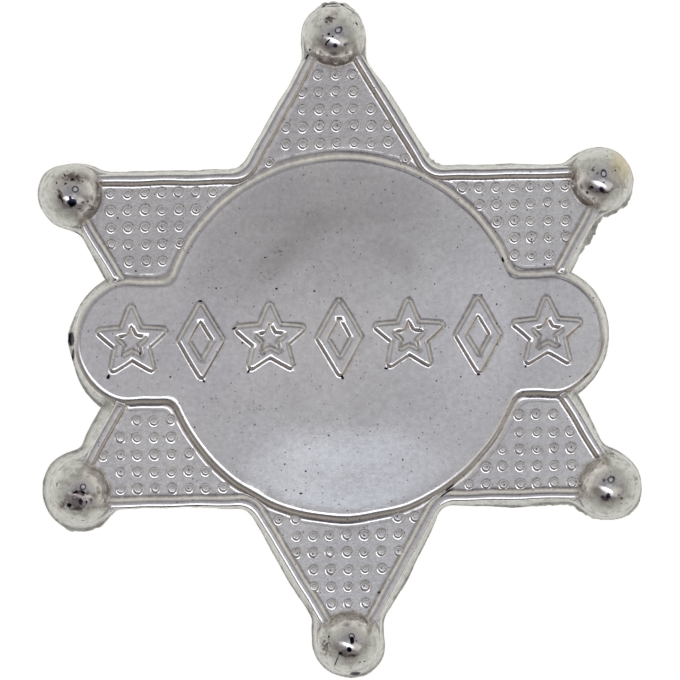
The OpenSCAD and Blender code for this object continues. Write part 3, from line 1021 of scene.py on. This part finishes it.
    # Orange peel of the plastic under the skin, and its fine grain, which is rougher between the dots
    depth = add(tree, "ShaderNodeMapRange", {}, {"Value": stored["grain"], 3: 0.09, 4: 0.5})
    swing = add(tree, "ShaderNodeMapRange", {}, {"Value": stored["grain"], 3: 0.1, 4: 0.25})
    grain = add(tree, "ShaderNodeBump", {}, {
        "Height": noise["fine"], "Strength": depth.outputs[0], "Distance": 0.024 * MM,
    })
    peel = add(tree, "ShaderNodeBump", {}, {
        "Height": noise["peel"], "Strength": swing.outputs[0], "Distance": 0.03 * MM,
        "Normal": grain.outputs[0],
    })
    tree.links.new(peel.outputs[0], shader.inputs["Normal"])
    satin = add(tree, "ShaderNodeMapRange", {}, {"Value": stored["ridge"], 3: 0.08, 4: 0.18})
    gloss = add(tree, "ShaderNodeMapRange", {}, {"Value": stored["side_shade_and_matte"], 3: satin.outputs[0], 4: 0.52})
    tree.links.new(gloss.outputs[0], shader.inputs["Roughness"])
    shader.inputs["Metallic"].default_value = 1.0
    return material


def dull_nickel_plated_steel():
    """Stamped steel strip with dull nickel plating, as on cheap brooch pins."""
    material, tree, shader = new_material("dull_nickel_plated_steel")
    place = add(tree, "ShaderNodeTexCoord").outputs["Object"]
    stretch = add(tree, "ShaderNodeMapping", {}, {"Vector": place, "Scale": (300, 6000, 6000)})
    lines = add(tree, "ShaderNodeTexNoise", {}, {
        "Vector": stretch.outputs[0], "Scale": 1.0, "Detail": 3,
    }).outputs["Fac"]
    tone = add(tree, "ShaderNodeMix", {"data_type": "RGBA"}, {
        0: lines, 6: hex_rgba("#C9C4BC"), 7: hex_rgba("#A9A49C"),
    })
    gloss = add(tree, "ShaderNodeMapRange", {}, {"Value": lines, 3: 0.25, 4: 0.42})
    bump = add(tree, "ShaderNodeBump", {}, {"Height": lines, "Strength": 0.3, "Distance": 0.01 * MM})
    tree.links.new(tone.outputs[2], shader.inputs["Base Color"])
    tree.links.new(gloss.outputs[0], shader.inputs["Roughness"])
    tree.links.new(bump.outputs[0], shader.inputs["Normal"])
    shader.inputs["Metallic"].default_value = 1.0
    return material


PLATED = vacuum_plated_polystyrene()
NICKEL = dull_nickel_plated_steel()


# Studio: floor, light and camera

def build_floor():
    material, tree, shader = new_material("white_table")
    shader.inputs["Base Color"].default_value = hex_rgba("#F2F1EF")
    shader.inputs["Roughness"].default_value = 0.9
    shader.inputs["Emission Color"].default_value = hex_rgba("#FFFFFF")
    shader.inputs["Emission Strength"].default_value = 0.66
    half = 600
    top = -0.02
    corners = [(-half, -half, top), (half, -half, top), (half, half, top), (-half, half, top)]
    floor = new_piece("table", corners, [(0, 1, 2, 3)])
    floor.data.materials.append(material)


def build_world():
    """A soft studio, painted by direction.

    The plan of a direction is its place on a mirror ball seen from above, from the middle at the
    zenith to 0.707 at the horizon.
    """
    world = bpy.data.worlds.new("soft_studio")
    bpy.context.scene.world = world
    world.use_nodes = True
    tree = world.node_tree
    tree.nodes.clear()
    toward = add(tree, "ShaderNodeTexCoord").outputs["Generated"]
    part = add(tree, "ShaderNodeSeparateXYZ", {}, {0: toward})
    double = add(tree, "ShaderNodeMath", {"operation": "MULTIPLY_ADD"}, {
        0: part.outputs["Z"], 1: 2.0, 2: 2.0002,
    })
    root = add(tree, "ShaderNodeMath", {"operation": "SQRT"}, {0: double.outputs[0]})
    flat = add(tree, "ShaderNodeVectorMath", {"operation": "MULTIPLY"}, {0: toward, 1: (1, 1, 0)})
    inverse = add(tree, "ShaderNodeMath", {"operation": "DIVIDE"}, {0: 1.0, 1: root.outputs[0]})
    plan = add(tree, "ShaderNodeVectorMath", {"operation": "SCALE"}, {
        0: flat.outputs[0], "Scale": inverse.outputs[0],
    })
    out = add(tree, "ShaderNodeVectorMath", {"operation": "LENGTH"}, {0: plan.outputs[0]})
    plan_parts = add(tree, "ShaderNodeSeparateXYZ", {}, {0: plan.outputs[0]})

    # Tones from the zenith to the horizon, towards the far and the darker near side of the room
    tones = []
    for stops in (
        (
            (0.0, "#C3C2C5"), (0.014, "#BBBABD"), (0.028, "#AFAEB1"), (0.045, "#AAA9AC"),
            (0.13, "#99979B"), (0.24, "#9D9B9E"), (0.34, "#B0AEAD"), (0.5, "#C3C0BC"),
            (0.62, "#E6E3DC"), (0.71, "#FFFDF9"),
        ),
        (
            (0.0, "#C3C2C5"), (0.05, "#BEBEC4"), (0.22, "#A6A4A8"), (0.34, "#8A8483"),
            (0.5, "#837D79"), (0.6, "#A8A29B"), (0.67, "#E6E3DC"), (0.71, "#FFFDF9"),
        ),
    ):
        ramp = add(tree, "ShaderNodeValToRGB", {}, {0: out.outputs["Value"]})
        for at, code in stops:
            stop = ramp.color_ramp.elements.new(at)
            stop.color = hex_rgba(code)
        ramp.color_ramp.elements.remove(ramp.color_ramp.elements[0])
        ramp.color_ramp.elements.remove(ramp.color_ramp.elements[-1])
        tones.append(ramp.outputs[0])
    side = add(tree, "ShaderNodeMapRange", {"interpolation_type": "SMOOTHSTEP"}, {
        "Value": plan_parts.outputs["Y"], 1: -0.12, 2: 0.06,
    })
    colour = add(tree, "ShaderNodeMix", {"data_type": "RGBA"}, {
        0: side.outputs[0], 6: tones[1], 7: tones[0],
    }).outputs[2]

    # Soft shapes: place, half size, turn, softness at the edge, colour and strength
    shapes = [
        ((0.08, 0.0), (0.05, 0.04), 0, 0.8, "#CDCED6", 1.0),
        ((-0.05, -0.005), (0.035, 0.022), 0, 0.8, "#BFBEC4", 1.0),
        ((0.0, -0.047), (0.034, 0.009), 0, 0.7, "#E2E7F3", 1.0),
        ((0.28, -0.19), (0.19, 0.11), -35, 0.6, "#D6D2CE", 1.0),
        ((-0.20, -0.33), (0.13, 0.08), 0, 0.5, "#6C6468", 1.0),
        ((-0.07, -0.145), (0.26, 0.07), -27, 0.35, "#F4F4FA", 1.1),
        ((-0.03, -0.13), (0.19, 0.047), -24, 0.4, "#F6F8FF", 2.4),
        ((0.0, -0.30), (0.08, 0.08), 0, 0.3, "#1E1C33", 1.0),
        ((0.36, -0.27), (0.065, 0.055), 0, 0.5, "#55505F", 1.0),
        ((0.10, 0.20), (0.112, 0.112), 0, 0.12, "#302E34", 1.0),
        ((0.10, 0.20), (0.068, 0.068), 0, 0.2, "#BDBCC4", 1.0),
    ]
    for (x, y), (half_x, half_y), turn, softness, code, strength in shapes:
        within = blot(tree, plan.outputs[0], (x, y), (half_x, half_y), turn, softness)
        rgba = [c * strength for c in hex_rgba(code)[:3]] + [1.0]
        colour = add(tree, "ShaderNodeMix", {"data_type": "RGBA"}, {
            0: within, 6: colour, 7: rgba,
        }).outputs[2]
    background = add(tree, "ShaderNodeBackground", {}, {"Color": colour, "Strength": 1.0})
    add(tree, "ShaderNodeOutputWorld", {}, {"Surface": background.outputs[0]})


def build_camera():
    """Straight above the badge, turned as the photograph shows it, at 9 pixels a millimetre."""
    pixels = 680
    scale = 9.0
    middle = (339.7, 337.8)
    turn = math.radians(-1.2)
    away = 480 * MM
    face_z = 3 * MM
    width = pixels / scale * MM
    data = bpy.data.cameras.new("camera")
    data.sensor_width = 36
    data.lens = data.sensor_width * away / width
    camera = bpy.data.objects.new("camera", data)
    bpy.context.scene.collection.objects.link(camera)
    # Shift of the view from the badge's middle to the middle of the picture, in the camera's axes
    right = (pixels / 2 - middle[0]) / scale * MM
    up = (middle[1] - pixels / 2) / scale * MM
    x = right * math.cos(turn) - up * math.sin(turn)
    y = right * math.sin(turn) + up * math.cos(turn)
    camera.location = (x, y, face_z + away)
    camera.rotation_euler = (0, 0, turn)
    bpy.context.scene.camera = camera


# Assembly

skin = build_star_skin()
skin.data.materials.append(PLATED)
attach(skin, "root")
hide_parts("star_shell")

dots = build_pebble_dots()
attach(dots, "root")
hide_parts("star_shell")

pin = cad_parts["bar_pin"]
for slot in pin.material_slots:
    slot.material = NICKEL

build_floor()
build_world()
build_camera()
bpy.context.scene.view_settings.view_transform = "Standard"
